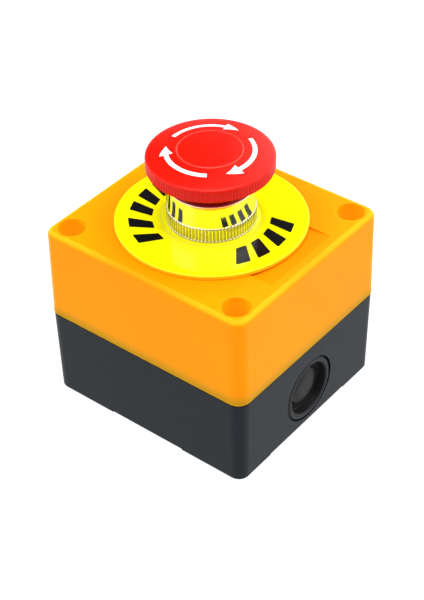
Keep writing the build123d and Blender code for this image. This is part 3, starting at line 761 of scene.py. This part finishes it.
s = spring("return_spring_coil", "return_spring", "housing", coil_points(6.8, 47.0, 55.0, 4, 0.4), 0.4)
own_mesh(s)
spring("twist_spring_coil", "twist_spring", "head", coil_points(8.3, 79.0, 83.4, 3.5, 0.4), 0.4)
lp = [(-2.1 + 4.2 * i / 128, 0.85 * cos(2 * pi * 4 * i / 128), 58.0 + 0.85 * sin(2 * pi * 4 * i / 128)) for i in range(129)]
spring("latch_spring_coil", "latch_spring", "pusher", lp, 0.22, 8)
for tag, cx, top in (("nc", -7.5, 25.6), ("no", 7.5, 25.8)):
    pts = [(x + cx, y, z) for x, y, z in coil_points(2.5, 13.2, top, 6, 0.22, 28)]
    s = spring(f"{tag}_spring_coil", f"{tag}_spring", "housing", pts, 0.22, 8)
    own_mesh(s)

# ---------------------------------------------------------------- camera
az, el, roll = radians(-50.965), radians(39.213), radians(-1.241)
target = Vector((0.0, 0.0, 0.03176))
dist = 0.4971
back_dir = Vector((sin(az) * cos(el), -cos(az) * cos(el), sin(el)))
zc = -back_dir
xr = zc.cross(Vector((0, 0, 1))).normalized()
yu = xr.cross(zc).normalized()
x2 = cos(roll) * xr + sin(roll) * yu
y2 = -sin(roll) * xr + cos(roll) * yu
rot = Matrix((x2, y2, back_dir)).transposed()
cam_data = bpy.data.cameras.new("camera")
cam = bpy.data.objects.new("camera", cam_data)
scene.collection.objects.link(cam)
cam.matrix_world = Matrix.Translation(target + back_dir * dist) @ rot.to_4x4()
cam_data.sensor_fit = "AUTO"
cam_data.sensor_width = 36
cam_data.lens = 92.95
cam_data.shift_x = -0.0024
cam_data.shift_y = -0.0021
cam_data.clip_start = 0.01
cam_data.clip_end = 20
scene.camera = cam

# ---------------------------------------------------------------- floor
fl = new_object("floor", [(-3, -3, -0.0002), (3, -3, -0.0002), (3, 3, -0.0002), (-3, 3, -0.0002)], [[0, 1, 2, 3]], None)
fm = bpy.data.materials.new("floor_pale")
fm.use_nodes = True
nt = fm.node_tree
nt.nodes.clear()
out = nt.nodes.new("ShaderNodeOutputMaterial")
add = nt.nodes.new("ShaderNodeAddShader")
dif = nt.nodes.new("ShaderNodeBsdfDiffuse")
dif.inputs["Color"].default_value = (0.16, 0.16, 0.16, 1)
emi = nt.nodes.new("ShaderNodeEmission")
emi.inputs["Color"].default_value = (1, 1, 1, 1)
# the sweep falls off to a pale grey away from the lit table
ftc = nt.nodes.new("ShaderNodeTexCoord")
flen = nt.nodes.new("ShaderNodeVectorMath")
flen.operation = "LENGTH"
nt.links.new(ftc.outputs["Object"], flen.inputs[0])
fall = nt.nodes.new("ShaderNodeMapRange")
fall.interpolation_type = "SMOOTHSTEP"
fall.inputs["From Min"].default_value = 0.30
fall.inputs["From Max"].default_value = 0.56
fall.inputs["To Min"].default_value = 0.95
fall.inputs["To Max"].default_value = 0.46
nt.links.new(flen.outputs["Value"], fall.inputs["Value"])
nt.links.new(fall.outputs["Result"], emi.inputs["Strength"])
nt.links.new(dif.outputs[0], add.inputs[0])
nt.links.new(emi.outputs[0], add.inputs[1])
nt.links.new(add.outputs[0], out.inputs[0])
fl.data.materials.append(fm)

# ---------------------------------------------------------------- light
world = bpy.data.worlds.new("studio")
scene.world = world
world.use_nodes = True
nt = world.node_tree
nt.nodes.clear()
N, L = nt.nodes.new, nt.links.new
wo = N("ShaderNodeOutputWorld")
bg = N("ShaderNodeBackground")
L(bg.outputs[0], wo.inputs[0])
tc = N("ShaderNodeTexCoord")
sep = N("ShaderNodeSeparateXYZ")
L(tc.outputs["Generated"], sep.inputs[0])
# height ramps for the camera side and for the far side of the room
near = N("ShaderNodeValToRGB")
far = N("ShaderNodeValToRGB")
zmap = N("ShaderNodeMapRange")
zmap.inputs["From Min"].default_value = -1
zmap.inputs["From Max"].default_value = 1
L(sep.outputs["Z"], zmap.inputs["Value"])
L(zmap.outputs["Result"], near.inputs["Fac"])
L(zmap.outputs["Result"], far.inputs["Fac"])


def set_ramp(node, stops):
    cr = node.color_ramp
    while len(cr.elements) > 1:
        cr.elements.remove(cr.elements[-1])
    cr.elements[0].position = stops[0][0]
    cr.elements[0].color = (stops[0][1],) * 3 + (1,)
    for p, v in stops[1:]:
        e = cr.elements.new(p)
        e.color = (v, v, v, 1)


def zpos(elev):
    return 0.5 + 0.5 * sin(radians(elev))


# ramps over height: towards the camera, and away from it
NEAR = [(0.0, 0.3), (zpos(0), 0.3), (zpos(30), 0.35), (zpos(60), 0.8), (1.0, 1.0)]
FAR = [(0.0, 0.8), (zpos(0), 0.8), (zpos(10), 0.45), (zpos(22), 0.05), (zpos(58), 0.05), (zpos(76), 0.8), (1.0, 1.0)]
BOX = [(0.0, 0.0), (zpos(-5), 0.0), (zpos(6), 1.0), (zpos(52), 1.0), (zpos(66), 0.0), (1.0, 0.0)]
BOX_L, BOX_R = 1.68, 2.1
set_ramp(near, NEAR)
set_ramp(far, FAR)
CAM = (-0.777, -0.630, 0)
RIGHT = (0.630, -0.777, 0)
flat = N("ShaderNodeVectorMath")
flat.operation = "MULTIPLY"
flat.inputs[1].default_value = (1, 1, 0)
L(tc.outputs["Generated"], flat.inputs[0])
unit = N("ShaderNodeVectorMath")
unit.operation = "NORMALIZE"
L(flat.outputs[0], unit.inputs[0])


def along(direction):
    d = N("ShaderNodeVectorMath")
    d.operation = "DOT_PRODUCT"
    L(unit.outputs[0], d.inputs[0])
    d.inputs[1].default_value = direction
    return d.outputs["Value"]


def step(value, lo, hi, out_lo=0.0, out_hi=1.0):
    m = N("ShaderNodeMapRange")
    m.interpolation_type = "SMOOTHSTEP"
    m.inputs["From Min"].default_value = lo
    m.inputs["From Max"].default_value = hi
    m.inputs["To Min"].default_value = out_lo
    m.inputs["To Max"].default_value = out_hi
    L(value, m.inputs["Value"])
    return m.outputs["Result"]


def math(op, a, b):
    m = N("ShaderNodeMath")
    m.operation = op
    for i, v in enumerate((a, b)):
        if isinstance(v, (int, float)):
            m.inputs[i].default_value = v
        else:
            L(v, m.inputs[i])
    return m.outputs[0]


side_cam = along(CAM)
side_right = along(RIGHT)
mix = N("ShaderNodeMix")
mix.data_type = "RGBA"
L(step(side_cam, -0.4, 0.3), mix.inputs["Factor"])
L(far.outputs["Color"], mix.inputs["A"])
L(near.outputs["Color"], mix.inputs["B"])
box = N("ShaderNodeValToRGB")
set_ramp(box, BOX)
L(zmap.outputs["Result"], box.inputs["Fac"])
lobe_r = math("MULTIPLY", step(side_right, 0.10, 0.36), step(side_cam, 0.75, 0.35))
lobe_l = math("MULTIPLY", step(side_right, -0.60, -0.85), 1.0)
lobes = math("ADD", math("MULTIPLY", lobe_r, BOX_R), math("MULTIPLY", lobe_l, BOX_L))
boxed = math("MULTIPLY", lobes, box.outputs["Color"])
total = N("ShaderNodeVectorMath")
total.operation = "ADD"
L(mix.outputs["Result"], total.inputs[0])
L(boxed, total.inputs[1])
L(total.outputs[0], bg.inputs["Color"])
bg.inputs["Strength"].default_value = 1.0


def area(name, loc, look, size, power, colour=(1, 1, 1)):
    d = bpy.data.lights.new(name, "AREA")
    d.shape = "RECTANGLE"
    d.size, d.size_y = size
    d.energy = power
    d.color = colour
    o = bpy.data.objects.new(name, d)
    scene.collection.objects.link(o)
    o.location = loc
    o.rotation_euler = (Vector(look) - Vector(loc)).to_track_quat("-Z", "Y").to_euler()
    return o


area("top_soft", (-0.05, -0.05, 0.75), (0, 0, 0.06), (0.6, 0.6), 4.2)

# ---------------------------------------------------------------- output look
scene.view_settings.view_transform = "Standard"
scene.view_settings.look = "None"
scene.view_settings.exposure = 0.0
scene.view_settings.gamma = 1.0
